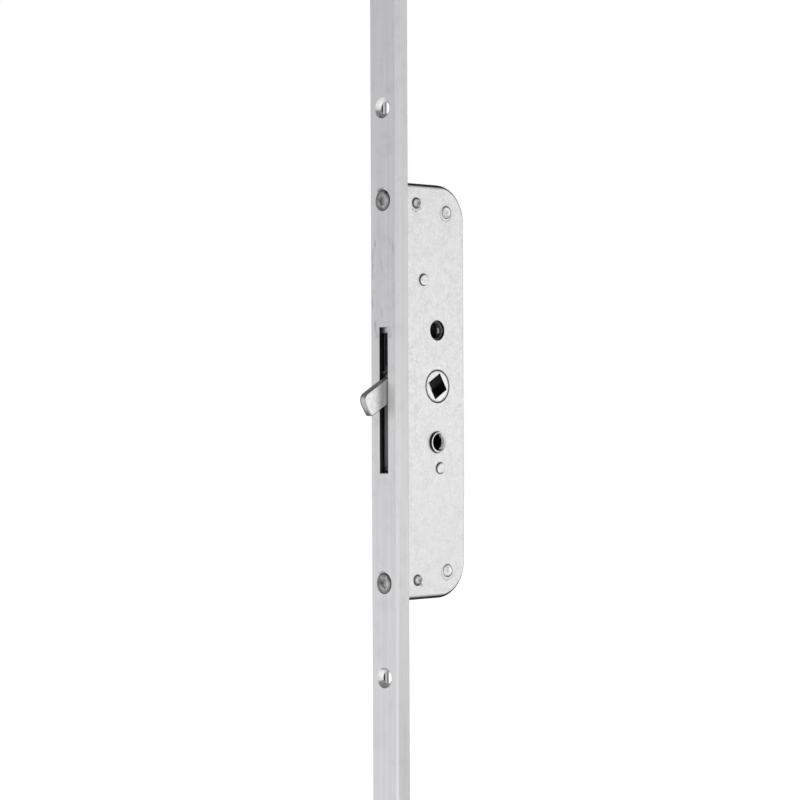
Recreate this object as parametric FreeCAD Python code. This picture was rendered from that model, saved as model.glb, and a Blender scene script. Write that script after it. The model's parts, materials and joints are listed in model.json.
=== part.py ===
import FreeCAD, Part
import math
import os

# Mortise cremone bolt: a channel faceplate, a thin lock case behind it, a square spindle hub,
# a swinging bolt finger and two rods that the hub drives in opposite directions.
# Millimetres. Origin: the centre of the spindle square, halfway through the case.
# +X runs along the spindle to the near side, -Y out of the faceplate's front, +Z up.
# The pieces stand as in the photograph: the handle is partly turned and the bolt hangs down.

os.makedirs("parts", exist_ok=True)

# Faceplate channel
backset = 25.0
faceplate_width = 14.0
faceplate_depth = 6.5
faceplate_wall = 1.8
faceplate_top = 198.0
faceplate_bottom = -202.0
ridge_radius = 0.9
lip_opening = 8.6
bolt_slot_width = 4.6
bolt_slot_top = 22.4
bolt_slot_bottom = -32.9
bolt_slot_edge_break = 0.25

# Holes in the faceplate's front
fixing_hole_top_z = 105.5
fixing_hole_bottom_z = -110.5
fixing_hole_d = 4.5
fixing_sink_d = 7.9
case_screw_top_z = 70.5
case_screw_bottom_z = -74.6
case_screw_head_d = 8.2
case_screw_shank_d = 4.0
screw_hole_d = 4.8
case_screw_length = 11.0
screw_socket_flats = 3.0
screw_socket_sides = 6
screw_socket_depth = 1.3
screw_seat_gap = 0.05

# Lock case
case_thickness = 8.0
case_sheet = 1.0
case_top = 77.5
case_bottom = -81.5
case_back = 15.0
case_corner_radius = 14.0
case_edge_radius = 1.3
base_edge_radius = 0.3
rod_to_case_gap = 0.4
nose_top = 5.8
nose_bottom = -30.5
nose_front = -21.5

# Spindle hub and its toothed sectors
square_side = 7.0
hub_d = 12.7
hub_running_gap = 0.08
hub_edge_chamfer = 0.25
turn_to_lock = 31.0
turn_to_open = 59.0

# Gear teeth, the same for the hub and the bolt
tooth_module = 1.0
pinion_teeth = 16
pressure_angle = 20.0
pinion_addendum = 0.9
rack_addendum = 0.85
tooth_dedendum = 1.1
tooth_thinning = 0.12
tooth_root_overlap = 0.3
flank_points = 4

# Bolt finger
bolt_thickness = 3.0
bolt_pivot_y = -18.5
bolt_pivot_z = 1.3
bolt_droop = 29.2
bolt_reach = 18.8
bolt_root_width = 8.8
bolt_tip_width = 8.8
bolt_upper_corner = 2.9
bolt_lower_corner = 1.0
bolt_edge_bevel = 0.35
bolt_boss_d = 11.0
bolt_pin_d = 4.0
bolt_running_gap = 0.06

# Slide plates, one each side of the bolt
layer_gap = 0.1
slide_bar_width = 3.4
slide_wall = 2.0
lower_arm_width = 2.7
crossing_gap = 0.6
lower_crossing_web = 6.0
upper_coupler_z = 52.5
lower_coupler_z = -56.0
tongue_margin = 1.0
tongue_front_gap = 1.2
slide_corner_radius = 0.8

# Handle fixing holes and their bushes
handle_fixing_pitch = 43.0
fixing_bush_bore = 6.1
fixing_bush_d = 7.7
fixing_bush_gap = 0.05
upper_bush_recess = 0.9
lower_bush_collar_d = 8.1
lower_bush_stand = 1.0

# Guide pins that show on the near side
upper_pin_y = -7.0
upper_pin_z = 40.8
upper_pin_head_d = 4.7
upper_pin_head_stand = 0.7
lower_pin_y = 1.6
lower_pin_z = -31.5
lower_pin_head_d = 4.5
lower_pin_head_stand = 0.7
guide_pin_shank_d = 3.2
guide_slot_gap = 0.1
guide_slot_end_gap = 0.3
pin_head_round = 0.5

# Case rivets and lug blocks
rivet_middle_z = -2.0
front_rivet_y = -11.0
front_rivet_spread = 72.0
front_rivet_d = 4.0
rear_rivet_y = 5.2
rear_rivet_spread = 69.2
rear_rivet_d = 4.6
rivet_stand = 0.15
rivet_hole_gap = 0.15
rear_spacer_d = 6.5
lug_half_height = 5.8
lug_back_y = -7.0
lug_boss_width = 5.2
lug_boss_height = 7.0

# Rods
rod_width = 10.0
rod_thickness = 2.5
rod_edge_chamfer = 0.3
upper_rod_lower_end = 20.3
lower_rod_upper_end = -39.5
rod_slot_side_gap = 0.2
rod_slot_end_gap = 0.4
coupler_width_gap = 0.4
coupler_back_y = -14.5
coupler_height = 9.0
tenon_height = 6.0
coupler_rivet_d = 2.4
coupler_rivet_inset = 1.9

# Rod tips and end guides
end_guide_length = 14.0
end_guide_gap = 0.1
end_guide_front_wall = 0.4
end_guide_back_wall = 0.8
tip_d = 5.6
tip_running_gap = 0.1
tip_stand = 10.0
tip_overlap = 14.0
tip_end_chamfer = 0.8
tip_pin_d = 2.4
tip_pin_inset = 3.5
rod_end_gap = 0.6
end_rivet_d = 2.0
end_rivet_reach = 1.6

# How near two places must be to count as one
same_place = 0.0001

# Places worked out from the sizes above
front_y = -backset
channel_y = front_y + faceplate_wall
faceplate_back_y = front_y + faceplate_depth
lip_y = faceplate_back_y - faceplate_wall
channel_half = faceplate_width / 2 - faceplate_wall
half_case = case_thickness / 2
inner_half = half_case - case_sheet
rod_gap = (lip_y - channel_y - rod_thickness) / 2
rod_front_y = channel_y + rod_gap
rod_back_y = rod_front_y + rod_thickness
case_front_y = rod_back_y + rod_to_case_gap
bolt_half = bolt_thickness / 2
layer_inner = bolt_half + layer_gap
layer_outer = inner_half - layer_gap
pitch_radius = tooth_module * pinion_teeth / 2
tip_radius = pitch_radius + pinion_addendum
root_radius = pitch_radius - tooth_dedendum
base_radius = pitch_radius * math.cos(math.radians(pressure_angle))
tooth_angle = 360.0 / pinion_teeth
rack_pitch = math.pi * tooth_module
travel_to_lock = pitch_radius * math.radians(turn_to_lock)
travel_to_open = pitch_radius * math.radians(turn_to_open)
teeth_to_lock = math.ceil(travel_to_lock / rack_pitch + 1)
teeth_to_open = math.ceil(travel_to_open / rack_pitch + 1)
shank_r = guide_pin_shank_d / 2
tip_y = channel_y + end_guide_gap + end_guide_front_wall + tip_running_gap + tip_d / 2
case_screw_heights = (case_screw_top_z, case_screw_bottom_z)
fixing_hole_heights = (fixing_hole_top_z, fixing_hole_bottom_z)
bush_heights = (handle_fixing_pitch / 2, -handle_fixing_pitch / 2)


def box(x0, x1, y0, y1, z0, z1):
    return Part.makeBox(x1 - x0, y1 - y0, z1 - z0, FreeCAD.Vector(x0, y0, z0))


def round_x(radius, x0, x1, y=0.0, z=0.0):
    return Part.makeCylinder(radius, x1 - x0, FreeCAD.Vector(x0, y, z), FreeCAD.Vector(1, 0, 0))


def round_y(radius, y0, y1, x=0.0, z=0.0):
    return Part.makeCylinder(radius, y1 - y0, FreeCAD.Vector(x, y0, z), FreeCAD.Vector(0, 1, 0))


def round_z(radius, z0, z1, x=0.0, y=0.0):
    return Part.makeCylinder(radius, z1 - z0, FreeCAD.Vector(x, y, z0), FreeCAD.Vector(0, 0, 1))


def sink_y(top_d, hole_d, z):
    # A 90 degree countersink in the faceplate's front.
    depth = (top_d - hole_d) / 2
    start = FreeCAD.Vector(0, front_y, z)
    return Part.makeCone(top_d / 2, hole_d / 2, depth, start, FreeCAD.Vector(0, 1, 0))


def plate(points, x0, x1):
    # A flat plate from an outline of (y, z) points, x0 to x1 thick.
    corners = [FreeCAD.Vector(x0, y, z) for y, z in points]
    corners.append(corners[0])
    face = Part.Face(Part.makePolygon(corners))
    return face.extrude(FreeCAD.Vector(x1 - x0, 0, 0))


def slot_x(radius, x0, x1, y, z0, z1):
    # A round-ended slot through a plate, its end centres at z0 and z1.
    middle = box(x0, x1, y - radius, y + radius, z0, z1)
    return middle.fuse([round_x(radius, x0, x1, y, z0), round_x(radius, x0, x1, y, z1)])


def slot_y(half_width, y0, y1, z0, z1):
    # A round-ended slot or boss along Y, from z0 to z1 over all.
    low = z0 + half_width
    high = z1 - half_width
    middle = box(-half_width, half_width, y0, y1, low, high)
    return middle.fuse([round_y(half_width, y0, y1, 0, low), round_y(half_width, y0, y1, 0, high)])


def edges_along_x(shape, places):
    # The edges that run along X through the given (y, z) corners.
    found = []
    for edge in shape.Edges:
        start = edge.Vertexes[0].Point
        end = edge.Vertexes[-1].Point
        along_x = abs(start.y - end.y) < same_place and abs(start.z - end.z) < same_place
        for y, z in places:
            if along_x and abs(start.y - y) < same_place and abs(start.z - z) < same_place:
                found.append(edge)
    return found


def turned(shape, degrees):
    copy = shape.copy()
    copy.rotate(FreeCAD.Vector(0, 0, 0), FreeCAD.Vector(1, 0, 0), degrees)
    return copy


def save(name, solids):
    # One solid is saved as it is, and several as one group.
    shape = solids[0] if len(solids) == 1 else Part.makeCompound(solids)
    shape = shape.removeSplitter()
    shape.exportStep("parts/" + name + ".step")
    print(name, len(shape.Solids), "solid(s)", round(shape.Volume, 2), "mm3", shape.isValid())


def tooth_half_angle(radius):
    # Half the angle that an involute tooth fills at a radius, seen from its gear's centre.
    pressure = math.radians(pressure_angle)
    slant = math.acos(min(1.0, base_radius / radius))
    half_at_pitch = (rack_pitch / 2 - tooth_thinning) / 2 / pitch_radius
    return half_at_pitch + (math.tan(pressure) - pressure) - (math.tan(slant) - slant)


def pinion_tooth(x0, x1):
    # One tooth that points along +Y.
    radii = [root_radius - tooth_root_overlap]
    for step in range(flank_points):
        radii.append(base_radius + (tip_radius - base_radius) * step / (flank_points - 1))
    lower = [(r * math.cos(tooth_half_angle(r)), -r * math.sin(tooth_half_angle(r))) for r in radii]
    upper = [(y, -z) for y, z in reversed(lower)]
    return plate(lower + upper, x0, x1)


def toothed_sector(x0, x1):
    # The part of a pinion that a rack along +Y of it meets over the whole turn.
    first = -math.ceil(turn_to_open / tooth_angle)
    last = math.ceil(turn_to_lock / tooth_angle)
    start = math.radians((first - 0.5) * tooth_angle)
    end = math.radians((last + 0.5) * tooth_angle)
    corners = []
    for angle in (start, (start + end) / 2, end):
        corners.append(FreeCAD.Vector(x0, root_radius * math.cos(angle), root_radius * math.sin(angle)))
    centre = FreeCAD.Vector(x0, 0, 0)
    rim = Part.Arc(corners[0], corners[1], corners[2]).toShape()
    outline = Part.Wire([Part.makeLine(centre, corners[0]), rim, Part.makeLine(corners[2], centre)])
    root = Part.Face(outline).extrude(FreeCAD.Vector(x1 - x0, 0, 0))
    teeth = [turned(pinion_tooth(x0, x1), number * tooth_angle) for number in range(first, last + 1)]
    return root.fuse(teeth)


def rack_teeth(x0, x1, pitch_y, facing, middle_z, below, above):
    # Straight-sided teeth on a bar, with a tooth space at middle_z. facing is +1 towards +Y.
    slope = math.tan(math.radians(pressure_angle))
    half = (rack_pitch / 2 - tooth_thinning) / 2
    root_depth = tooth_dedendum + tooth_root_overlap
    half_tip = half - rack_addendum * slope
    half_root = half + root_depth * slope
    tip = pitch_y + facing * rack_addendum
    root = pitch_y - facing * root_depth
    teeth = []
    for number in range(-below, above):
        z = middle_z + (number + 0.5) * rack_pitch
        outline = [(root, z - half_root), (tip, z - half_tip), (tip, z + half_tip), (root, z + half_root)]
        teeth.append(plate(outline, x0, x1))
    return teeth


def make_spindle_hub():
    hub = round_x(hub_d / 2, -half_case, half_case)
    rims = [edge for edge in hub.Edges if isinstance(edge.Curve, Part.Circle)]
    hub = hub.makeChamfer(hub_edge_chamfer, rims)
    rear = toothed_sector(layer_inner, layer_outer)
    front = turned(toothed_sector(-layer_outer, -layer_inner), 180)
    half = square_side / 2
    square = box(-case_thickness, case_thickness, -half, half, -half, half)
    return hub.fuse([rear, front]).cut(turned(square, turn_to_lock))


def make_bolt_finger():
    # The finger lies along -Y from its pivot, and its end is an arc about the pivot.
    root = bolt_root_width / 2
    tip = bolt_tip_width / 2
    end_y = -math.sqrt(bolt_reach ** 2 - tip ** 2)
    top_root = FreeCAD.Vector(-bolt_half, 0, root)
    top_tip = FreeCAD.Vector(-bolt_half, end_y, tip)
    low_tip = FreeCAD.Vector(-bolt_half, end_y, -tip)
    low_root = FreeCAD.Vector(-bolt_half, 0, -root)
    end = Part.Arc(top_tip, FreeCAD.Vector(-bolt_half, -bolt_reach, 0), low_tip).toShape()
    sides = [Part.makeLine(top_root, top_tip), end, Part.makeLine(low_tip, low_root)]
    outline = Part.Wire(sides + [Part.makeLine(low_root, top_root)])
    finger = Part.Face(outline).extrude(FreeCAD.Vector(bolt_thickness, 0, 0))
    finger = finger.makeFillet(bolt_upper_corner, edges_along_x(finger, [(end_y, tip)]))
    finger = finger.makeFillet(bolt_lower_corner, edges_along_x(finger, [(end_y, -tip)]))
    rims = []
    for edge in finger.Edges:
        on_face = edge.BoundBox.XLength < same_place
        at_pivot = edge.BoundBox.YLength < same_place and abs(edge.Vertexes[0].Point.y) < same_place
        if on_face and not at_pivot:
            rims.append(edge)
    return finger.makeChamfer(bolt_edge_bevel, rims)


def make_swing_bolt():
    finger = turned(make_bolt_finger(), bolt_droop)
    boss = round_x(bolt_boss_d / 2, -bolt_half, bolt_half)
    bolt = finger.fuse([boss, toothed_sector(-bolt_half, layer_outer)])
    bolt = bolt.cut(round_x(bolt_pin_d / 2 + bolt_running_gap, -half_case, half_case))
    bolt.translate(FreeCAD.Vector(0, bolt_pivot_y, bolt_pivot_z))
    return bolt


def coupler_rivet_places(middle_z):
    y = (rod_back_y + coupler_back_y) / 2
    reach = coupler_height / 2 - coupler_rivet_inset
    return [(y, middle_z + reach), (y, middle_z - reach)]


def make_coupler_rivets(side, middle_z):
    # side is -1 for the upper slide's layer and +1 for the lower slide's.
    ends = sorted([side * layer_outer, -side * (inner_half - coupler_width_gap)])
    return [round_x(coupler_rivet_d / 2, ends[0], ends[1], y, z) for y, z in coupler_rivet_places(middle_z)]


def make_coupler(side, middle_z):
    ends = sorted([side * layer_inner, -side * (inner_half - coupler_width_gap)])
    half = coupler_height / 2
    block = box(ends[0], ends[1], rod_back_y, coupler_back_y, middle_z - half, middle_z + half)
    tenon = make_tenon(middle_z)
    return block.fuse(tenon).cut(make_coupler_rivets(side, middle_z))


def make_tenon(middle_z):
    half = tenon_height / 2
    return box(-layer_inner, layer_inner, rod_front_y, rod_back_y, middle_z - half, middle_z + half)


def make_upper_slide_plate():
    # The rack bar stands in front of the hub; the head has the guide slot and the tongue the coupler.
    bar_back = -pitch_radius - tooth_dedendum
    bar_front = bar_back - slide_bar_width
    bar_bottom = -teeth_to_lock * rack_pitch
    head_back = upper_pin_y + shank_r + guide_slot_gap + slide_wall
    slot_low = upper_pin_z - travel_to_lock - guide_slot_end_gap
    slot_high = upper_pin_z + travel_to_open + guide_slot_end_gap
    head_bottom = slot_low - shank_r - slide_wall
    tongue_top = upper_coupler_z + coupler_height / 2 + tongue_margin
    tongue_bottom = upper_coupler_z - coupler_height / 2 - tongue_margin
    tongue_front = rod_back_y + tongue_front_gap
    outline = [(bar_front, bar_bottom), (bar_back, bar_bottom), (bar_back, head_bottom)]
    outline += [(head_back, head_bottom), (head_back, tongue_top), (tongue_front, tongue_top)]
    outline += [(tongue_front, tongue_bottom), (bar_front, tongue_bottom)]
    body = plate(outline, -layer_outer, -layer_inner)
    corners = [outline[0], outline[3], outline[4], outline[5], outline[6]]
    body = body.makeFillet(slide_corner_radius, edges_along_x(body, corners))
    teeth = rack_teeth(-layer_outer, -layer_inner, -pitch_radius, 1, 0.0, teeth_to_lock, teeth_to_open)
    slot = slot_x(shank_r + guide_slot_gap, -half_case, half_case, upper_pin_y, slot_low, slot_high)
    return body.fuse(teeth).cut([slot] + make_coupler_rivets(-1, upper_coupler_z))


def make_lower_slide_plate():
    # A front arm drives the bolt, a rear bar meets the hub, and both join below the lower bush.
    arm_pitch = bolt_pivot_y + pitch_radius
    arm_front = arm_pitch + tooth_dedendum
    arm_back = arm_front + lower_arm_width
    arm_top = bolt_pivot_z + teeth_to_lock * rack_pitch
    bar_front = pitch_radius + tooth_dedendum
    bar_back = bar_front + slide_bar_width
    bar_top = teeth_to_lock * rack_pitch
    crossing_top = bush_heights[1] - fixing_bush_d / 2 - travel_to_open - crossing_gap
    slot_low = lower_pin_z - travel_to_open - guide_slot_end_gap
    crossing_bottom = slot_low - shank_r - lower_crossing_web
    tongue_top = lower_coupler_z + coupler_height / 2 + tongue_margin
    tongue_bottom = lower_coupler_z - coupler_height / 2 - tongue_margin
    tongue_front = rod_back_y + tongue_front_gap
    outline = [(arm_front, arm_top), (arm_back, arm_top), (arm_back, crossing_top)]
    outline += [(bar_front, crossing_top), (bar_front, bar_top), (bar_back, bar_top)]
    outline += [(bar_back, crossing_bottom), (arm_back, tongue_bottom), (tongue_front, tongue_bottom)]
    outline += [(tongue_front, tongue_top), (arm_front, tongue_top)]
    body = plate(outline, layer_inner, layer_outer)
    corners = [outline[1], outline[5], outline[6], outline[7], outline[8], outline[9]]
    body = body.makeFillet(slide_corner_radius, edges_along_x(body, corners))
    teeth = rack_teeth(layer_inner, layer_outer, pitch_radius, -1, 0.0, teeth_to_open, teeth_to_lock)
    teeth += rack_teeth(layer_inner, layer_outer, arm_pitch, -1, bolt_pivot_z, teeth_to_open, teeth_to_lock)
    slot = slot_x(shank_r + guide_slot_gap, -half_case, half_case, lower_pin_y, slot_low, crossing_top)
    return body.fuse(teeth).cut([slot] + make_coupler_rivets(1, lower_coupler_z))


def make_rod(z0, z1, fixed_heights, below, above, coupler_z):
    # below and above are how far the fixed screws run down and up along the rod as it slides.
    rod = box(-rod_width / 2, rod_width / 2, rod_front_y, rod_back_y, z0, z1)
    long_edges = [edge for edge in rod.Edges if edge.BoundBox.ZLength > rod_width]
    rod = rod.makeChamfer(rod_edge_chamfer, long_edges)
    case_screw_z, fixing_hole_z = fixed_heights
    cuts = [make_tenon(coupler_z)]
    for z, half_width, half_height in (
        (case_screw_z, lug_boss_width / 2, lug_boss_height / 2),
        (fixing_hole_z, fixing_hole_d / 2, fixing_hole_d / 2),
    ):
        low = z - below - half_height - rod_slot_end_gap
        high = z + above + half_height + rod_slot_end_gap
        cuts.append(slot_y(half_width + rod_slot_side_gap, rod_front_y, rod_back_y, low, high))
    return rod.cut(cuts)


def make_rod_tip(direction, rod_end, faceplate_end):
    # A round bar that sits behind the rod's flat end, then runs on alone through the end guide.
    inner_end = rod_end - direction * tip_overlap
    outer_end = faceplate_end + direction * tip_stand
    low, high = sorted([inner_end, outer_end])
    tip = round_z(tip_d / 2, low, high, 0, tip_y)
    rims = [edge for edge in tip.Edges if abs(edge.BoundBox.ZMin - outer_end) < same_place]
    tip = tip.makeChamfer(tip_end_chamfer, rims)
    seat_low, seat_high = sorted([inner_end, rod_end])
    return tip.cut(box(-tip_d, tip_d, front_y, rod_back_y, seat_low, seat_high))


def make_tip_pins(direction, rod_end):
    back = tip_y + tip_d / 2 - tip_end_chamfer
    heights = [rod_end - direction * inset for inset in (tip_pin_inset, tip_overlap - tip_pin_inset)]
    return [round_y(tip_pin_d / 2, rod_front_y, back, 0, z) for z in heights]


def case_outline(x0, x1, inset):
    # The case's side outline, square at the faceplate and rounded at the back.
    top = case_top - inset
    bottom = case_bottom + inset
    back = case_back - inset
    shape = box(x0, x1, case_front_y, back, bottom, top)
    return shape.makeFillet(case_corner_radius - inset, edges_along_x(shape, [(back, top), (back, bottom)]))


def rim_edges(shape, x):
    # The outline's edges on one face, apart from the open front.
    found = []
    for edge in shape.Edges:
        bounds = edge.BoundBox
        on_face = abs(bounds.XMin - x) < same_place and abs(bounds.XMax - x) < same_place
        at_front = abs(bounds.YMax - case_front_y) < same_place
        if on_face and not at_front:
            found.append(edge)
    return found


def nose(x0, x1):
    # Each case plate reaches into the channel beside the bolt to carry its pivot.
    return box(x0, x1, nose_front, case_front_y, nose_bottom, nose_top)


def through_pieces():
    # What fills its hole in both case plates.
    shanks = [make_pivot_pin()]
    shanks += make_rivets(front_rivet_d + 2 * rivet_hole_gap, front_rivet_y, front_rivet_spread)
    shanks += make_rivets(rear_rivet_d + 2 * rivet_hole_gap, rear_rivet_y, rear_rivet_spread)
    shanks.append(round_x(shank_r, -half_case, half_case, upper_pin_y, upper_pin_z))
    shanks.append(round_x(shank_r, -half_case, half_case, lower_pin_y, lower_pin_z))
    shanks.append(round_x(hub_d / 2 + hub_running_gap, -half_case, half_case))
    return shanks


def make_case_base():
    shape = case_outline(-half_case, -inner_half, 0.0)
    shape = shape.makeFillet(base_edge_radius, rim_edges(shape, -half_case))
    shape = shape.fuse(nose(-half_case, -inner_half))
    bush_r = fixing_bush_d / 2 + fixing_bush_gap
    holes = [round_x(bush_r, -half_case, -inner_half, 0, z) for z in bush_heights]
    return shape.cut(through_pieces() + holes)


def make_case_cover():
    outer = case_outline(-inner_half, half_case, 0.0)
    outer = outer.makeFillet(case_edge_radius, rim_edges(outer, half_case))
    hollow = case_outline(-half_case, inner_half, case_sheet)
    shape = outer.cut(hollow).fuse(nose(inner_half, half_case))
    upper_hole = round_x(fixing_bush_d / 2 + fixing_bush_gap, inner_half, half_case, 0, bush_heights[0])
    lower_hole = round_x(lower_bush_collar_d / 2 + fixing_bush_gap, inner_half, half_case, 0, bush_heights[1])
    return shape.cut(through_pieces() + [upper_hole, lower_hole])


def make_pivot_pin():
    return round_x(bolt_pin_d / 2, -half_case, half_case, bolt_pivot_y, bolt_pivot_z)


def make_rivets(diameter, y, spread):
    heights = (rivet_middle_z + spread, rivet_middle_z - spread)
    return [round_x(diameter / 2, -half_case, half_case + rivet_stand, y, z) for z in heights]


def make_corner_spacers():
    heights = (rivet_middle_z + rear_rivet_spread, rivet_middle_z - rear_rivet_spread)
    tubes = [round_x(rear_spacer_d / 2, -inner_half, inner_half, rear_rivet_y, z) for z in heights]
    return [tube.cut(make_rivets(rear_rivet_d, rear_rivet_y, rear_rivet_spread)) for tube in tubes]


def make_guide_pin(y, z, head_d, head_stand):
    shank = round_x(shank_r, -half_case, half_case, y, z)
    head = round_x(head_d / 2, half_case, half_case + head_stand, y, z)
    rims = [edge for edge in head.Edges if edge.BoundBox.XMin > half_case + head_stand / 2]
    return shank.fuse(head.makeFillet(pin_head_round, rims))


def make_fixing_bushes():
    # The upper bush ends below the near face; the lower one has a collar that stands proud of it.
    upper_z, lower_z = bush_heights
    upper = round_x(fixing_bush_d / 2, -half_case, half_case - upper_bush_recess, 0, upper_z)
    collar_end = half_case + lower_bush_stand
    collar = round_x(lower_bush_collar_d / 2, inner_half, collar_end, 0, lower_z)
    lower = round_x(fixing_bush_d / 2, -half_case, inner_half, 0, lower_z).fuse(collar)
    bores = [round_x(fixing_bush_bore / 2, -half_case, collar_end, 0, z) for z in bush_heights]
    return upper.cut(bores[0]), lower.cut(bores[1])


def make_lug_block(screw_z):
    # The block fills the case behind the rod, and its boss reaches through the rod to the faceplate.
    low = screw_z - lug_half_height
    high = screw_z + lug_half_height
    block = box(-inner_half, inner_half, case_front_y, lug_back_y, low, high)
    half_boss = lug_boss_height / 2
    boss = slot_y(lug_boss_width / 2, channel_y, case_front_y, screw_z - half_boss, screw_z + half_boss)
    screw = round_y(case_screw_shank_d / 2, front_y, front_y + case_screw_length, 0, screw_z)
    rivets = make_rivets(front_rivet_d, front_rivet_y, front_rivet_spread)
    return block.fuse(boss).cut([screw] + rivets)


def make_case_screw(z):
    head_r = case_screw_head_d / 2 - screw_seat_gap
    start = FreeCAD.Vector(0, front_y, z)
    head = Part.makeCone(head_r, head_r - faceplate_wall, faceplate_wall, start, FreeCAD.Vector(0, 1, 0))
    shank = round_y(case_screw_shank_d / 2, front_y, front_y + case_screw_length, 0, z)
    corner_r = screw_socket_flats / 2 / math.cos(math.pi / screw_socket_sides)
    corners = []
    for number in range(screw_socket_sides + 1):
        angle = 2 * math.pi * number / screw_socket_sides
        corners.append(FreeCAD.Vector(corner_r * math.sin(angle), front_y, z + corner_r * math.cos(angle)))
    socket = Part.Face(Part.makePolygon(corners)).extrude(FreeCAD.Vector(0, screw_socket_depth, 0))
    return head.fuse(shank).cut(socket)


def make_end_rivets(z):
    # Two flush rivets that hold an end guide between the channel's sides.
    y = (channel_y + lip_y) / 2
    outer = faceplate_width / 2
    inner = channel_half - end_rivet_reach
    return [round_x(end_rivet_d / 2, x0, x1, y, z) for x0, x1 in ((-outer, -inner), (inner, outer))]


def end_rivet_heights():
    return (faceplate_top - end_guide_length / 2, faceplate_bottom + end_guide_length / 2)


def make_end_guide(z0, z1):
    half = channel_half - end_guide_gap
    half_back = lip_opening / 2 - end_guide_gap
    back = tip_y + tip_d / 2 + tip_running_gap + end_guide_back_wall
    front = box(-half, half, channel_y + end_guide_gap, lip_y - end_guide_gap, z0, z1)
    rear = box(-half_back, half_back, lip_y - end_guide_gap, back, z0, z1)
    bore = round_z(tip_d / 2 + tip_running_gap, z0, z1, 0, tip_y)
    return front.fuse(rear).cut([bore] + make_end_rivets((z0 + z1) / 2))


def is_slot_mouth(edge):
    # One of the four edges of the bolt slot in the faceplate's front.
    bounds = edge.BoundBox
    at_front = bounds.YMax < front_y + same_place
    in_width = max(-bounds.XMin, bounds.XMax) < bolt_slot_width / 2 + same_place
    in_height = bounds.ZMin > bolt_slot_bottom - same_place and bounds.ZMax < bolt_slot_top + same_place
    return at_front and in_width and in_height


def make_faceplate():
    half = faceplate_width / 2
    channel = box(-half, half, front_y, faceplate_back_y, faceplate_bottom, faceplate_top)
    ridges = []
    for edge in channel.Edges:
        at_front = edge.BoundBox.YMax < front_y + ridge_radius
        if at_front and edge.BoundBox.ZLength > faceplate_width:
            ridges.append(edge)
    channel = channel.makeFillet(ridge_radius, ridges)
    half_slot = bolt_slot_width / 2
    channel = channel.cut(box(-half_slot, half_slot, front_y, channel_y, bolt_slot_bottom, bolt_slot_top))
    mouth = [edge for edge in channel.Edges if is_slot_mouth(edge)]
    channel = channel.makeChamfer(bolt_slot_edge_break, mouth)
    hollow = box(-channel_half, channel_half, channel_y, lip_y, faceplate_bottom, faceplate_top)
    half_lip = lip_opening / 2
    opening = box(-half_lip, half_lip, lip_y, faceplate_back_y, faceplate_bottom, faceplate_top)
    cuts = [hollow, opening]
    for z in fixing_hole_heights:
        cuts += [sink_y(fixing_sink_d, fixing_hole_d, z), round_y(fixing_hole_d / 2, front_y, channel_y, 0, z)]
    for z in case_screw_heights:
        cuts += [sink_y(case_screw_head_d, screw_hole_d, z), round_y(screw_hole_d / 2, front_y, channel_y, 0, z)]
    for z in end_rivet_heights():
        cuts += make_end_rivets(z)
    return channel.cut(cuts)


upper_bush, lower_bush = make_fixing_bushes()
guide_top = faceplate_top - end_guide_length
guide_bottom = faceplate_bottom + end_guide_length
upper_rod_end = guide_top - travel_to_lock - rod_end_gap
lower_rod_end = guide_bottom + travel_to_lock + rod_end_gap
screw_top, screw_bottom = case_screw_heights
hole_top, hole_bottom = fixing_hole_heights

save("faceplate", [make_faceplate()])
save("case_base", [make_case_base()])
save("case_cover", [make_case_cover()])
save("upper_lug_block", [make_lug_block(screw_top)])
save("lower_lug_block", [make_lug_block(screw_bottom)])
save("front_corner_rivets", make_rivets(front_rivet_d, front_rivet_y, front_rivet_spread))
save("rear_corner_rivets", make_rivets(rear_rivet_d, rear_rivet_y, rear_rivet_spread))
save("corner_spacers", make_corner_spacers())
save("case_screws", [make_case_screw(z) for z in case_screw_heights])
save("upper_fixing_bush", [upper_bush])
save("lower_fixing_bush", [lower_bush])
save("upper_guide_pin", [make_guide_pin(upper_pin_y, upper_pin_z, upper_pin_head_d, upper_pin_head_stand)])
save("lower_guide_pin", [make_guide_pin(lower_pin_y, lower_pin_z, lower_pin_head_d, lower_pin_head_stand)])
save("bolt_pivot_pin", [make_pivot_pin()])
save("upper_end_guide", [make_end_guide(guide_top, faceplate_top)])
save("lower_end_guide", [make_end_guide(faceplate_bottom, guide_bottom)])
save("end_guide_rivets", [rivet for z in end_rivet_heights() for rivet in make_end_rivets(z)])
save("spindle_hub", [make_spindle_hub()])
save("swing_bolt", [make_swing_bolt()])

save("upper_slide_plate", [make_upper_slide_plate()])
save("upper_coupler", [make_coupler(-1, upper_coupler_z)])
save("upper_coupler_rivets", make_coupler_rivets(-1, upper_coupler_z))
upper_rod = make_rod(upper_rod_lower_end, upper_rod_end, (screw_top, hole_top),
                     travel_to_lock, travel_to_open, upper_coupler_z)
upper_pins = make_tip_pins(1, upper_rod_end)
save("upper_rod", [upper_rod.cut(upper_pins)])
save("upper_rod_tip", [make_rod_tip(1, upper_rod_end, faceplate_top).cut(upper_pins)])
save("upper_tip_pins", upper_pins)

save("lower_slide_plate", [make_lower_slide_plate()])
save("lower_coupler", [make_coupler(1, lower_coupler_z)])
save("lower_coupler_rivets", make_coupler_rivets(1, lower_coupler_z))
lower_rod = make_rod(lower_rod_end, lower_rod_upper_end, (screw_bottom, hole_bottom),
                     travel_to_open, travel_to_lock, lower_coupler_z)
lower_pins = make_tip_pins(-1, lower_rod_end)
save("lower_rod", [lower_rod.cut(lower_pins)])
save("lower_rod_tip", [make_rod_tip(-1, lower_rod_end, faceplate_bottom).cut(lower_pins)])
save("lower_tip_pins", lower_pins)
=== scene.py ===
import json
import math

import bmesh
import bpy
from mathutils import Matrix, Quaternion, Vector


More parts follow.
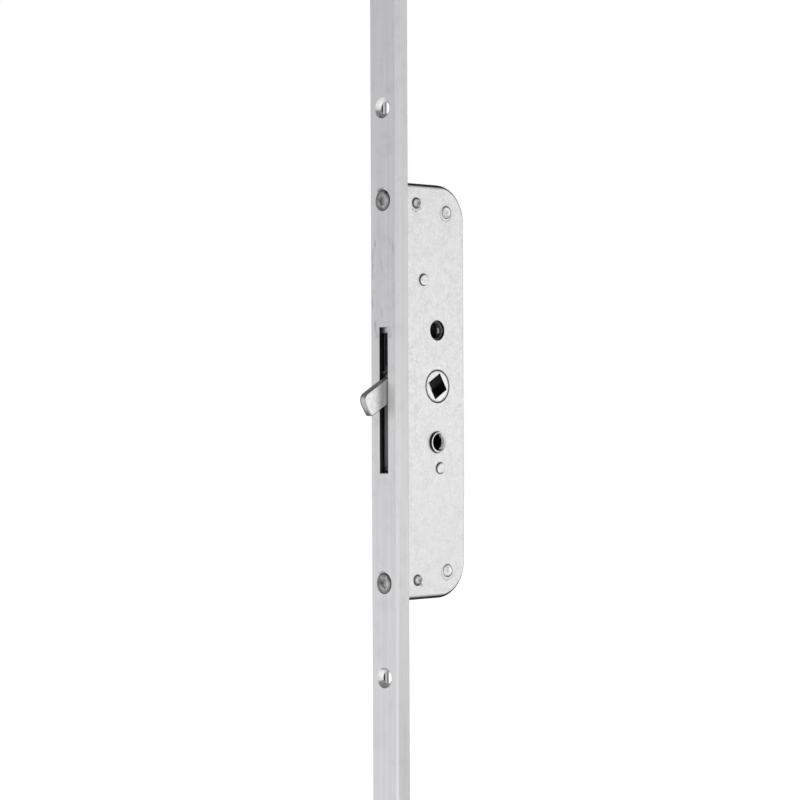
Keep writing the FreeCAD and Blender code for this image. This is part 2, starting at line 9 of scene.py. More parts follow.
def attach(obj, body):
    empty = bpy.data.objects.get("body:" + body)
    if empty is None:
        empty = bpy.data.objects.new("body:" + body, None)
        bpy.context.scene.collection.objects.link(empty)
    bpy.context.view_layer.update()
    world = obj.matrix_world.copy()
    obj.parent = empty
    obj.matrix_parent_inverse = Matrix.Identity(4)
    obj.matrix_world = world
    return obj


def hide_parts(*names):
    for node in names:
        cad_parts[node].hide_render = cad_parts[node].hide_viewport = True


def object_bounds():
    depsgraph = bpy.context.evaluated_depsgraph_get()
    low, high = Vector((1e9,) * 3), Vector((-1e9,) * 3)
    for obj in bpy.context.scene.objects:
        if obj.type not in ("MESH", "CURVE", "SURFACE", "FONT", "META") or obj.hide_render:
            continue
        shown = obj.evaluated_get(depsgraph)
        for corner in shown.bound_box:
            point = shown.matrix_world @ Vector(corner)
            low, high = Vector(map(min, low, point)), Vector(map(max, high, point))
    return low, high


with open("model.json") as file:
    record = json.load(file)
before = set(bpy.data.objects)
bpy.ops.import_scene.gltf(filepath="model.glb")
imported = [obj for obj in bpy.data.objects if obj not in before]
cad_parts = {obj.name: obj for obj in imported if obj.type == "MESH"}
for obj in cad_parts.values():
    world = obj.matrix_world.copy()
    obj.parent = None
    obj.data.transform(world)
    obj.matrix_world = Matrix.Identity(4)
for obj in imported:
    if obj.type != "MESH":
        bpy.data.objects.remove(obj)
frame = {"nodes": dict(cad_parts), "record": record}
cad_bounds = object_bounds()

# The lock's sizes are in millimetres, which mm turns into metres. Places are in its own frame: origin in
# the spindle square, +X towards the near side of the case, -Y out of the faceplate's front, +Z up.
mm = 0.001

# The photograph's view, in degrees and metres
view_azimuth = 46.0
view_distance = 0.93
view_target = Vector((-8.1 * mm, -8.4 * mm, -5.2 * mm))
view_roll = 0.22

# The camera's film and lens, in its own millimetres
sensor_width = 36.0
lens_length = 108.4

# Light, in metres, watts and shares of white
floor_drop = 0.5 * mm
floor_size = 6.0
floor_grey = 0.82
floor_lift = 0.6
world_fill = 0.62
key_power = 7.0
side_power = 3.0

# The lock's sizes that the looks follow
spindle_square = 7.0
spindle_turn = math.radians(31.0)
hub_radius = 6.35
fixing_bush_z = 21.5
upper_bush_radius = 3.85
lower_collar_radius = 4.05
upper_pin = (-7.0, 40.8)
upper_pin_head = 2.35
lower_pin = (1.6, -31.5)
lower_pin_head = 2.25
front_rivets = [(-11.0, 70.0), (-11.0, -74.0)]
rear_rivets = [(5.2, 67.2), (5.2, -71.2)]
case_screw_heights = (70.5, -74.6)
fixing_hole_heights = (105.5, -110.5)
case_half = 4.0
faceplate_front = -25.0
slot_side = 2.3
slot_bottom = -32.9
slot_top = 22.4

# How far a box runs on its open sides
endless = 1000.0

# Which axes a round mark runs across: one drawn along the spindle, or one out of the faceplate's front
along_spindle = (0.0, 1.0, 1.0)
out_of_front = (1.0, 0.0, 1.0)


def grey(level, cool=0.0):
    # A screen grey of 0 to 255 as a linear colour, with a little more blue where cool is above 0.
    def linear(value):
        share = max(0.0, min(255.0, value)) / 255.0
        return share / 12.92 if share <= 0.04045 else ((share + 0.055) / 1.055) ** 2.4

    return (linear(level), linear(level), linear(level + cool), 1.0)


# Camera, world, floor and lamps

def make_camera():
    turn = math.radians(view_azimuth)
    out = Vector((math.sin(turn), -math.cos(turn), 0.0))
    data = bpy.data.cameras.new("photo_view")
    data.sensor_width = sensor_width
    data.lens = lens_length
    camera = bpy.data.objects.new("photo_view", data)
    bpy.context.scene.collection.objects.link(camera)
    camera.location = view_target + out * view_distance
    camera.rotation_mode = "QUATERNION"
    level = (-out).to_track_quat("-Z", "Y")
    camera.rotation_quaternion = level @ Quaternion((0.0, 0.0, 1.0), math.radians(-view_roll))
    bpy.context.scene.camera = camera
    bpy.context.scene.view_settings.view_transform = "Standard"


def seen_directly(tree):
    # 1 where the camera, a reflection or a look through glass sees the surface.
    path = tree.nodes.new("ShaderNodeLightPath").outputs
    either = add_math(tree, "MAXIMUM", path["Is Camera Ray"], path["Is Glossy Ray"])
    return add_math(tree, "MAXIMUM", either, path["Is Transmission Ray"])


def make_world():
    world = bpy.data.worlds.new("white_studio")
    bpy.context.scene.world = world
    world.use_nodes = True
    tree = world.node_tree
    tree.nodes.clear()
    fill = tree.nodes.new("ShaderNodeBackground")
    fill.inputs["Color"].default_value = (1.0, 1.0, 1.0, 1.0)
    fill.inputs["Strength"].default_value = world_fill
    white = tree.nodes.new("ShaderNodeBackground")
    white.inputs["Color"].default_value = (1.0, 1.0, 1.0, 1.0)
    white.inputs["Strength"].default_value = 1.0
    blend = tree.nodes.new("ShaderNodeMixShader")
    output = tree.nodes.new("ShaderNodeOutputWorld")
    tree.links.new(seen_directly(tree), blend.inputs[0])
    tree.links.new(fill.outputs[0], blend.inputs[1])
    tree.links.new(white.outputs[0], blend.inputs[2])
    tree.links.new(blend.outputs[0], output.inputs["Surface"])


def new_sheet(name, corners, material):
    # One flat sheet of the studio, from its four corners.
    mesh = bpy.data.meshes.new(name)
    mesh.from_pydata(corners, [], [(0, 1, 2, 3)])
    mesh.materials.append(material)
    sheet = bpy.data.objects.new(name, mesh)
    bpy.context.scene.collection.objects.link(sheet)
    return sheet


def level_corners(left, right, front, back, height):
    # The corners of a level sheet, from the sides it reaches in X and Y.
    return [(left, front, height), (right, front, height), (right, back, height), (left, back, height)]


def make_floor():
    material = bpy.data.materials.new("pale_floor")
    material.use_nodes = True
    tree = material.node_tree
    tree.nodes.clear()
    matt = tree.nodes.new("ShaderNodeBsdfDiffuse")
    matt.inputs["Color"].default_value = (floor_grey, floor_grey, floor_grey, 1.0)
    lift = tree.nodes.new("ShaderNodeEmission")
    lift.inputs["Color"].default_value = (1.0, 1.0, 1.0, 1.0)
    tree.links.new(add_math(tree, "MULTIPLY", seen_directly(tree), floor_lift), lift.inputs["Strength"])
    lifted = tree.nodes.new("ShaderNodeAddShader")
    output = tree.nodes.new("ShaderNodeOutputMaterial")
    tree.links.new(matt.outputs[0], lifted.inputs[0])
    tree.links.new(lift.outputs[0], lifted.inputs[1])
    tree.links.new(lifted.outputs[0], output.inputs["Surface"])
    half = floor_size / 2
    corners = level_corners(-half, half, -half, half, cad_bounds[0][2] - floor_drop)
    floor = new_sheet("pale_floor", corners, material)


def make_lamp(name, azimuth, height, distance, size, power):
    # A square soft lamp that stands at an azimuth round the lock and points at it.
    turn = math.radians(azimuth)
    place = Vector((math.sin(turn) * distance, -math.cos(turn) * distance, height))
    data = bpy.data.lights.new(name, "AREA")
    data.shape = "SQUARE"
    data.size = size
    data.energy = power
    lamp = bpy.data.objects.new(name, data)
    bpy.context.scene.collection.objects.link(lamp)
    lamp.location = place
    lamp.rotation_euler = (-place).to_track_quat("-Z", "Y").to_euler()
    lamp.visible_camera = False
    lamp.visible_glossy = False


def make_card(name, corners, level):
    # A studio card, darker than the white round it, that only reflections see: it draws the bends and rims.
    material = bpy.data.materials.new(name)
    material.use_nodes = True
    tree = material.node_tree
    tree.nodes.clear()
    glow = tree.nodes.new("ShaderNodeEmission")
    glow.inputs["Color"].default_value = (1.0, 1.0, 1.0, 1.0)
    glow.inputs["Strength"].default_value = level
    output = tree.nodes.new("ShaderNodeOutputMaterial")
    tree.links.new(glow.outputs[0], output.inputs["Surface"])
    card = new_sheet(name, corners, material)
    card.visible_camera = False
    card.visible_diffuse = False
    card.visible_transmission = False
    card.visible_volume_scatter = False
    card.visible_shadow = False


def upright_card(name, azimuth, distance, width, height, level):
    # A card that stands on the floor at an azimuth round the lock and faces it.
    turn = math.radians(azimuth)
    middle = Vector((math.sin(turn), -math.cos(turn), 0.0)) * distance
    side = Vector((math.cos(turn), math.sin(turn), 0.0)) * (width / 2)
    low = cad_bounds[0][2]
    corners = [middle - side, middle + side, middle + side, middle - side]
    heights = (low, low, height, height)
    make_card(name, [(c.x, c.y, z) for c, z in zip(corners, heights)], level)


def make_cards():
    overhead = level_corners(left=-1.3, right=1.3, front=-1.4, back=1.5, height=0.75)
    make_card("overhead_card", overhead, level=0.12)
    just_above_floor = cad_bounds[0][2] - floor_drop / 2
    underfoot = level_corners(left=-0.15, right=0.33, front=0.08, back=0.56, height=just_above_floor)
    make_card("underfoot_card", underfoot, level=0.12)
    upright_card("front_card_left", azimuth=14.0, distance=1.1, width=0.55, height=0.6, level=0.75)
    upright_card("front_card_right", azimuth=78.0, distance=1.1, width=0.55, height=0.6, level=0.75)
    upright_card("rear_card", azimuth=205.0, distance=1.0, width=0.8, height=0.6, level=0.2)


# Shader groups that several finishes share

def new_group(name, inputs, outputs):
    # A shader group with a Vector input, these inputs of (name, value) and these outputs. An input without
    # a value and an output called Normal are vectors.
    group = bpy.data.node_groups.new(name, "ShaderNodeTree")
    for socket_name, value in [("Vector", None)] + inputs:
        kind = "NodeSocketVector" if value is None else "NodeSocketFloat"
        socket = group.interface.new_socket(name=socket_name, in_out="INPUT", socket_type=kind)
        if value is not None:
            socket.default_value = value
    for socket_name in outputs:
        kind = "NodeSocketVector" if socket_name == "Normal" else "NodeSocketFloat"
        group.interface.new_socket(name=socket_name, in_out="OUTPUT", socket_type=kind)
    return group, group.nodes.new("NodeGroupInput"), group.nodes.new("NodeGroupOutput")


def add_math(tree, operation, first, second=None, third=None, clamp=False):
    node = tree.nodes.new("ShaderNodeMath")
    node.operation = operation
    node.use_clamp = clamp
    for number, value in enumerate((first, second, third)):
        if value is None:
            continue
        if isinstance(value, (int, float)):
            node.inputs[number].default_value = value
        else:
            tree.links.new(value, node.inputs[number])
    return node.outputs[0]


def add_ramp(tree, value, low, high):
    # 0 at low, 1 at high, straight between and level beyond.
    node = tree.nodes.new("ShaderNodeMapRange")
    tree.links.new(value, node.inputs["Value"])
    node.inputs["From Min"].default_value = low
    node.inputs["From Max"].default_value = high
    return node.outputs["Result"]


def both(tree, first, second):
    # Where two masks lie over each other.
    return add_math(tree, "MULTIPLY", first, second)


def split(tree, vector):
    # A vector's X, Y and Z.
    node = tree.nodes.new("ShaderNodeSeparateXYZ")
    tree.links.new(vector, node.inputs[0])
    return node.outputs


def facing(tree):
    # X, Y and Z of the surface's own normal.
    return split(tree, tree.nodes.new("ShaderNodeNewGeometry").outputs["Normal"])


def add_noise(tree, vector, scale, detail, roughness=0.5):
    node = tree.nodes.new("ShaderNodeTexNoise")
    tree.links.new(vector, node.inputs["Vector"])
    for name, value in (("Scale", scale), ("Detail", detail), ("Roughness", roughness)):
        if isinstance(value, (int, float)):
            node.inputs[name].default_value = value
        else:
            tree.links.new(value, node.inputs[name])
    return node.outputs["Fac"]


def make_grain_group():
    # Drawing lines: noise that is fine across the sheet and long along Z.
    inputs = [("Across", 4000.0), ("Along", 60.0)]
    group, given, result = new_group("drawing_lines", inputs, ["Lines", "Bands"])
    lines = []
    for share, detail in ((1.0, 4.0), (0.22, 2.0)):
        across = add_math(group, "MULTIPLY", given.outputs["Across"], share)
        along = add_math(group, "MULTIPLY", given.outputs["Along"], share)
        scale = group.nodes.new("ShaderNodeCombineXYZ")
        group.links.new(across, scale.inputs["X"])
        group.links.new(across, scale.inputs["Y"])
        group.links.new(along, scale.inputs["Z"])
        stretch = group.nodes.new("ShaderNodeVectorMath")
        stretch.operation = "MULTIPLY"
        group.links.new(given.outputs["Vector"], stretch.inputs[0])
        group.links.new(scale.outputs[0], stretch.inputs[1])
        lines.append(add_noise(group, stretch.outputs[0], 1.0, detail, 0.6))
    group.links.new(lines[0], result.inputs["Lines"])
    group.links.new(lines[1], result.inputs["Bands"])
    return group


def make_mottle_group():
    # The cloudy, slightly crystalline look of zinc on sheet.
    inputs = [("Cloud", 260.0), ("Crystal", 1500.0)]
    group, given, result = new_group("zinc_mottle", inputs, ["Clouds", "Crystals", "Fine"])
    clouds = add_noise(group, given.outputs["Vector"], given.outputs["Cloud"], 5.0, 0.62)
    fine_scale = add_math(group, "MULTIPLY", given.outputs["Crystal"], 2.6)
    fine = add_noise(group, given.outputs["Vector"], fine_scale, 3.0, 0.6)
    cells = group.nodes.new("ShaderNodeTexVoronoi")
    cells.feature = "SMOOTH_F1"
    group.links.new(given.outputs["Vector"], cells.inputs["Vector"])
    group.links.new(given.outputs["Crystal"], cells.inputs["Scale"])
    brightness = group.nodes.new("ShaderNodeSeparateColor")
    group.links.new(cells.outputs["Color"], brightness.inputs["Color"])
    group.links.new(clouds, result.inputs["Clouds"])
    group.links.new(brightness.outputs["Red"], result.inputs["Crystals"])
    group.links.new(fine, result.inputs["Fine"])
    return group


def make_specks_group():
    # Small scattered pits and dirt specks: one may lie in each cell, and most cells have none.
    inputs = [("Spread", 220.0), ("Size", 0.1), ("Share", 0.3)]
    group, given, result = new_group("specks", inputs, ["Mask"])
    cells = group.nodes.new("ShaderNodeTexVoronoi")
    group.links.new(given.outputs["Vector"], cells.inputs["Vector"])
    group.links.new(given.outputs["Spread"], cells.inputs["Scale"])
    chance = group.nodes.new("ShaderNodeSeparateColor")
    group.links.new(cells.outputs["Color"], chance.inputs["Color"])
    chosen = add_math(group, "LESS_THAN", chance.outputs["Green"], given.outputs["Share"])
    near = add_math(group, "DIVIDE", cells.outputs["Distance"], given.outputs["Size"])
    inside = add_math(group, "SUBTRACT", 1.0, near, clamp=True)
    group.links.new(add_math(group, "MULTIPLY", inside, chosen), result.inputs["Mask"])
    return group


def make_edge_group():
    # Where an edge is rubbed bright, and the normal of the slightly rounded edge.
    inputs = [("Radius", 0.2 * mm), ("Breakup", 900.0)]
    group, given, result = new_group("rubbed_edge", inputs, ["Mask", "Normal"])
    rounded = group.nodes.new("ShaderNodeBevel")
    rounded.samples = 8
    group.links.new(given.outputs["Radius"], rounded.inputs["Radius"])
    flat = group.nodes.new("ShaderNodeNewGeometry")
    alike = group.nodes.new("ShaderNodeVectorMath")
    alike.operation = "DOT_PRODUCT"
    group.links.new(rounded.outputs["Normal"], alike.inputs[0])
    group.links.new(flat.outputs["Normal"], alike.inputs[1])
    bend = add_ramp(group, alike.outputs["Value"], 0.995, 0.86)
    patches = add_noise(group, given.outputs["Vector"], given.outputs["Breakup"], 3.0)
    group.links.new(both(group, bend, add_ramp(group, patches, 0.3, 0.62)), result.inputs["Mask"])
    group.links.new(rounded.outputs["Normal"], result.inputs["Normal"])
    return group


def make_box_group():
    # 1 inside a box from Low to High, fading over Soft at its sides.
    inputs = [("Low", None), ("High", None), ("Soft", 0.2 * mm)]
    group, given, result = new_group("box_mark", inputs, ["Mask"])
    place = split(group, given.outputs["Vector"])
    low = split(group, given.outputs["Low"])
    high = split(group, given.outputs["High"])
    mask = 1.0
    for axis in "XYZ":
        above = add_math(group, "SUBTRACT", place[axis], low[axis])
        below = add_math(group, "SUBTRACT", high[axis], place[axis])
        inside = add_math(group, "DIVIDE", add_math(group, "MINIMUM", above, below), given.outputs["Soft"])
        mask = add_math(group, "MULTIPLY", add_math(group, "MINIMUM", inside, 1.0, clamp=True), mask)
    group.links.new(mask, result.inputs["Mask"])
    return group


def make_bend_group():
    # Where a pressed sheet curves away from its flat side face, and how much of that is at its ends.
    group, given, result = new_group("sheet_bend", [("Breakup", 400.0)], ["Mask", "Ends"])
    lean = facing(group)
    flat = add_math(group, "ABSOLUTE", lean["X"])
    upright = add_math(group, "ABSOLUTE", lean["Z"])
    patches = add_noise(group, given.outputs["Vector"], given.outputs["Breakup"], 3.0)
    mask = both(group, add_ramp(group, flat, 0.995, 0.94), add_ramp(group, patches, -0.3, 0.5))
    group.links.new(mask, result.inputs["Mask"])
    group.links.new(both(group, mask, add_ramp(group, upright, 0.02, 0.3)), result.inputs["Ends"])
    return group


def make_ring_group():
    # A soft ring round an axis through Centre, as where a rivet meets its sheet, and the disc inside it.
    # Across is 0 along the axis and 1 along the other two.
    inputs = [("Centre", None), ("Across", None), ("Radius", 2.5 * mm), ("Width", 0.4 * mm)]
    group, given, result = new_group("ring_mark", inputs, ["Mask", "Disc"])
    offset = group.nodes.new("ShaderNodeVectorMath")
    offset.operation = "SUBTRACT"
    group.links.new(given.outputs["Vector"], offset.inputs[0])
    group.links.new(given.outputs["Centre"], offset.inputs[1])
    flat = group.nodes.new("ShaderNodeVectorMath")
    flat.operation = "MULTIPLY"
    group.links.new(given.outputs["Across"], flat.inputs[1])
    group.links.new(offset.outputs[0], flat.inputs[0])
    reach = group.nodes.new("ShaderNodeVectorMath")
    reach.operation = "LENGTH"
    group.links.new(flat.outputs[0], reach.inputs[0])
    wobble = add_noise(group, given.outputs["Vector"], 700.0, 2.0)
    wobble = add_math(group, "MULTIPLY_ADD", wobble, 1.6, 0.2)
    width = add_math(group, "MULTIPLY", given.outputs["Width"], wobble)
    inward = add_math(group, "SUBTRACT", given.outputs["Radius"], reach.outputs["Value"])
    away = add_math(group, "ABSOLUTE", inward)
    mask = add_math(group, "SUBTRACT", 1.0, add_math(group, "DIVIDE", away, width), clamp=True)
    group.links.new(mask, result.inputs["Mask"])
    disc = add_math(group, "DIVIDE", inward, given.outputs["Width"], clamp=True)
    group.links.new(disc, result.inputs["Disc"])
    return group


class Finish:
    """A metal or plastic finish: one Principled shader whose colour, roughness and normal are layered."""

    def __init__(self, name, colour, metallic, roughness):
        self.material = bpy.data.materials.new(name)
        self.material.use_nodes = True
        self.tree = self.material.node_tree
        self.shader = self.tree.nodes["Principled BSDF"]
        self.shader.inputs["Metallic"].default_value = metallic
        self.shader.inputs["Roughness"].default_value = roughness
        self.shader.inputs["Base Color"].default_value = colour
        coordinates = self.tree.nodes.new("ShaderNodeTexCoord")
        self.place = coordinates.outputs["Object"]
        self.colour = None
        self.base = colour
        self.rough = None
        self.roughness = roughness
        self.metal = None
        self.metallic = metallic
        self.height = None
        self.normal = None

    def use(self, group, **values):
        node = self.tree.nodes.new("ShaderNodeGroup")
        node.node_tree = group
        self.tree.links.new(self.place, node.inputs["Vector"])
        for name, value in values.items():
            node.inputs[name.capitalize()].default_value = value
        return node.outputs

    def box(self, low, high, soft):
        # 1 from the low corner to the high one. Its sizes, and those of ring, are in millimetres.
        low = tuple(value * mm for value in low)
        high = tuple(value * mm for value in high)
        return self.use(box_mark, low=low, high=high, soft=soft * mm)["Mask"]

    def ring(self, side, z, radius, width, across=along_spindle):
        # A ring and its disc. side is Y for one along the spindle, and X for one out of the front.
        centre = (0.0, side * mm, z * mm) if across == along_spindle else (side * mm, 0.0, z * mm)
        return self.use(ring_mark, centre=centre, across=across, radius=radius * mm, width=width * mm)

    def tint(self, mask, colour, strength=1.0):
        # Lays a colour over what is there, where the mask is.
        mix = self.tree.nodes.new("ShaderNodeMix")
        mix.data_type = "RGBA"
        share = add_math(self.tree, "MULTIPLY", mask, strength, clamp=True)
        self.tree.links.new(share, mix.inputs["Factor"])
        if self.colour is None:
            mix.inputs[6].default_value = self.base
        else:
            self.tree.links.new(self.colour, mix.inputs[6])
        mix.inputs[7].default_value = colour
        self.colour = mix.outputs[2]

    def draw_rings(self, marks, across=along_spindle):
        # Each mark is (side, z, radius, width, grey level, strength).
        for side, z, radius, width, level, strength in marks:
            self.tint(self.ring(side, z, radius, width, across)["Mask"], grey(level), strength)

    def rub_edges(self, radius, breakup, colour=None, strength=1.0):
        # Rounds the edges over a radius in millimetres, and rubs them to a colour where one is given.
        edge = self.use(rubbed_edge, radius=radius * mm, breakup=breakup)
        if colour is not None:
            self.tint(edge["Mask"], colour, strength)
        self.normal = edge["Normal"]

    def roughen(self, mask, amount):
        # Duller where the mask is, or glossier for an amount below 0.
        start = self.roughness if self.rough is None else self.rough
        self.rough = add_math(self.tree, "MULTIPLY_ADD", mask, amount, start)

    def unplate(self, mask, amount):
        # Less like bare metal where the mask is, as where dirt or paint lies.
        start = self.metallic if self.metal is None else self.metal
        self.metal = add_math(self.tree, "MULTIPLY_ADD", mask, -amount, start)

    def raise_by(self, mask, amount):
        # Higher where the mask is, as a share of the finish's relief.
        layer = add_math(self.tree, "MULTIPLY", mask, amount)
        self.height = layer if self.height is None else add_math(self.tree, "ADD", self.height, layer)

    def finished(self, relief):
        # Joins the layers to the shader. relief is the depth of the bumps in millimetres.
        bump = self.tree.nodes.new("ShaderNodeBump")
        bump.inputs["Strength"].default_value = 1.0
        bump.inputs["Distance"].default_value = relief * mm
        self.tree.links.new(self.height, bump.inputs["Height"])
        self.tree.links.new(self.normal, bump.inputs["Normal"])
        self.tree.links.new(self.colour, self.shader.inputs["Base Color"])
        self.tree.links.new(self.rough, self.shader.inputs["Roughness"])
        self.tree.links.new(bump.outputs["Normal"], self.shader.inputs["Normal"])
        if self.metal is not None:
            self.tree.links.new(self.metal, self.shader.inputs["Metallic"])
        return self.material


drawing_lines = make_grain_group()
zinc_mottle = make_mottle_group()
specks = make_specks_group()
rubbed_edge = make_edge_group()
ring_mark = make_ring_group()
box_mark = make_box_group()
sheet_bend = make_bend_group()


# Finishes, one for each of the record's material slots. Places, radii and widths are in millimetres.

def mark_fixing_hole(finish, height):
    # A faceplate hole's bright sink, pale throat and darker rim, and painted reflections: the greys that
    # the sink would mirror.
    sink = finish.ring(0.0, height, 3.95, 0.1, out_of_front)["Disc"]
    finish.tint(sink, grey(236), 0.9)
    finish.roughen(sink, -0.12)
    throat = finish.ring(0.0, height, 2.32, 0.05, out_of_front)["Disc"]
    finish.tint(throat, grey(215), 0.9)
    finish.unplate(throat, 0.5)
    finish.draw_rings([(0.0, height, 3.6, 0.55, 150, 0.6)], out_of_front)
    # Painted reflections in the sink, as patches with their grey levels; the top one is pale on the upper
    # hole and dark on the lower.
    upper_reflection_level = 238 if height > 0 else 128
    painted_reflections = [((-5.2, -6.0), (5.2, -1.2), 118), ((1.5, -1.4), (4.2, 4.2), 165),
                ((0.6, 2.0), (2.4, 3.8), 110), ((-3.6, 2.4), (3.2, 5.4), upper_reflection_level),
                ((-1.8, -3.9), (2.0, -1.6), 158)]
    for (left, low), (right, high), level in painted_reflections:
        patch = finish.box((left, -endless, height + low), (right, endless, height + high), 1.2)
        here = both(finish.tree, patch, sink)
        finish.tint(here, grey(level), 0.85)
        finish.unplate(here, 0.25)


def mark_screw_seat(finish, height):
    # A case screw's darker seat, and painted shadow of the gap above it.
    seat = finish.ring(0.0, height, 4.1, 0.05, out_of_front)["Disc"]
    finish.tint(seat, grey(90), 0.85)
    # Painted shadow above the head, darker over the upper screw than over the lower one.
    level = 55 if height > 0 else 125
    gap_shadow = [(-2.4, height + 3.7, 0.0, 0.7, level, 0.9), (-1.6, height + 4.1, 0.0, 0.7, level, 0.9),
            (-0.8, height + 4.3, 0.0, 0.7, level, 0.9), (0.2, height + 4.2, 0.0, 0.6, level, 0.8)]
    finish.draw_rings(gap_shadow, out_of_front)


def mark_bolt_slot(finish):
    # Painted shade over the channel's inside and the slot's far cut wall, and painted light on its near cut
    # wall.
    # Painted shade over the channel's inside.
    inside = finish.box((-5.3, -23.3, -endless), (5.3, -20.2, endless), 0.05)
    finish.tint(inside, grey(24), 0.97)
    low, high = slot_bottom - 0.1, slot_top + 0.1
    # Painted shade on the slot's far wall.
    shaded_far_wall = finish.box((-slot_side - 0.1, -24.8, low), (-slot_side + 0.1, -23.1, high), 0.03)
    finish.tint(shaded_far_wall, grey(8), 0.98)
    # Painted light on the slot's near wall.
    lit_near_wall = finish.box((slot_side - 0.1, -24.9, low), (slot_side + 0.1, -23.1, high), 0.03)
    finish.tint(lit_near_wall, grey(235), 0.9)
    finish.unplate(lit_near_wall, 0.6)
    finish.roughen(lit_near_wall, 0.25)


def faceplate_finish():
    # Drawn zinc with streaks along the plate, smears above the bolt slot, and its holes' own marks, with
    # painted light and shade over its slot, corners, flank, lower end and beside the bolt.
    finish = Finish("drawn_zinc", grey(206, 2), 0.72, 0.43)
    tree = finish.tree
    grain = finish.use(drawing_lines, across=3800.0, along=38.0)
    zinc = finish.use(zinc_mottle, cloud=150.0, crystal=1700.0)
    finish.tint(add_ramp(tree, grain["Bands"], 0.36, 0.7), grey(190, 2), 0.5)
    finish.tint(add_ramp(tree, grain["Lines"], 0.5, 0.72), grey(212, 1), 0.35)
    finish.tint(add_ramp(tree, zinc["Clouds"], 0.52, 0.7), grey(184, 2), 0.45)
    above_slot = finish.box((-7.1, -25.2, 18.0), (6.5, -24.8, 56.0), 0.1)
    smears = finish.use(drawing_lines, across=900.0, along=160.0)
    finish.tint(both(tree, above_slot, add_ramp(tree, smears["Lines"], 0.54, 0.66)), grey(146, 1), 0.6)
    pits = finish.use(specks, spread=260.0, size=0.09, share=0.22)["Mask"]
    finish.tint(pits, grey(120, 1), 0.8)
    finish.tint(finish.use(specks, spread=410.0, size=0.1, share=0.16)["Mask"], grey(240), 0.5)
    finish.rub_edges(0.25, 500.0, grey(225), 0.6)
    for height in fixing_hole_heights:
        mark_fixing_hole(finish, height)
    for height in case_screw_heights:
        mark_screw_seat(finish, height)
    mark_bolt_slot(finish)
    # Painted shade along the far rounded corner of the front.
    shaded_far_corner = finish.box((-7.2, -25.3, -endless), (-6.25, -24.5, endless), 0.3)
    finish.tint(shaded_far_corner, grey(140, 1), 0.8)
    # Painted light on the near flank.
    lit_flank = finish.box((6.9, -25.0, -endless), (7.2, -18.0, endless), 0.05)
    finish.tint(lit_flank, grey(224), 0.12)
    # Painted light: the plate pales towards its lower end.
    lower_end = add_ramp(tree, split(tree, finish.place)["Z"], 20.0 * mm, -30.0 * mm)
    finish.tint(lower_end, grey(255), 0.09)
    streaks = finish.use(drawing_lines, across=2600.0, along=7.0)
    finish.tint(add_ramp(tree, streaks["Lines"], 0.5, 0.68), grey(172, 2), 0.35)
    sideways = add_math(tree, "ABSOLUTE", facing(tree)["X"])
    # Painted light on the front beside the bolt.
    around_bolt = finish.box((-3.0, -31.0, -17.0), (13.0, -19.0, 6.0), 5.0)
    light_beside_bolt = both(tree, around_bolt, add_ramp(tree, sideways, 0.25, 0.02))
    finish.tint(light_beside_bolt, grey(238), 0.5)
    finish.unplate(light_beside_bolt, 0.55)
    # Painted highlight along the rounded ridge.
    ridge_highlight = both(tree, add_ramp(tree, sideways, 0.3, 0.6), add_ramp(tree, sideways, 0.95, 0.8))
    finish.tint(ridge_highlight, grey(232), 0.55)
    finish.roughen(ridge_highlight, -0.1)
    finish.roughen(grain["Bands"], 0.1)
    finish.raise_by(grain["Lines"], 0.5)
    finish.raise_by(zinc["Fine"], 0.4)
    finish.raise_by(pits, -0.8)
    return finish.finished(0.01)


def case_marks():
    # Shade where the round pieces meet the case's near face, and the smears beside the rivets.
    marks = [(0.0, 0.0, hub_radius + 0.05, 0.25, 60, 0.8),
             (0.0, fixing_bush_z, upper_bush_radius, 0.15, 90, 0.6),
             (-0.2, -fixing_bush_z, lower_collar_radius + 0.05, 0.4, 40, 0.8)]
    for (y, z), head in ((upper_pin, upper_pin_head), (lower_pin, lower_pin_head)):
        marks.append((y - 0.45, z, head - 0.1, 0.4, 60, 0.8))
    for y, z in front_rivets:
        marks.append((y - 0.25, z, 1.95, 0.4, 80, 0.9))
        marks.append((y + 2.0, z - 1.9, 0.0, 0.8, 110, 0.8))
        marks.append((y + 2.1, z + 0.2, 0.0, 0.9, 110, 0.8))
    y, z = front_rivets[0]
    for aside, down in ((-1.9, 2.6), (-0.2, 3.1), (1.9, -1.4), (0.9, 2.5)):
        marks.append((y + aside, z - down, 0.0, 0.75, 110, 0.8))
    for y, z in rear_rivets:
        marks.append((y - 0.3, z, 2.35, 0.2, 150, 0.5))
        marks.append((y - 0.4, z - 0.5, 3.0, 0.5, 165, 0.6))
    return marks


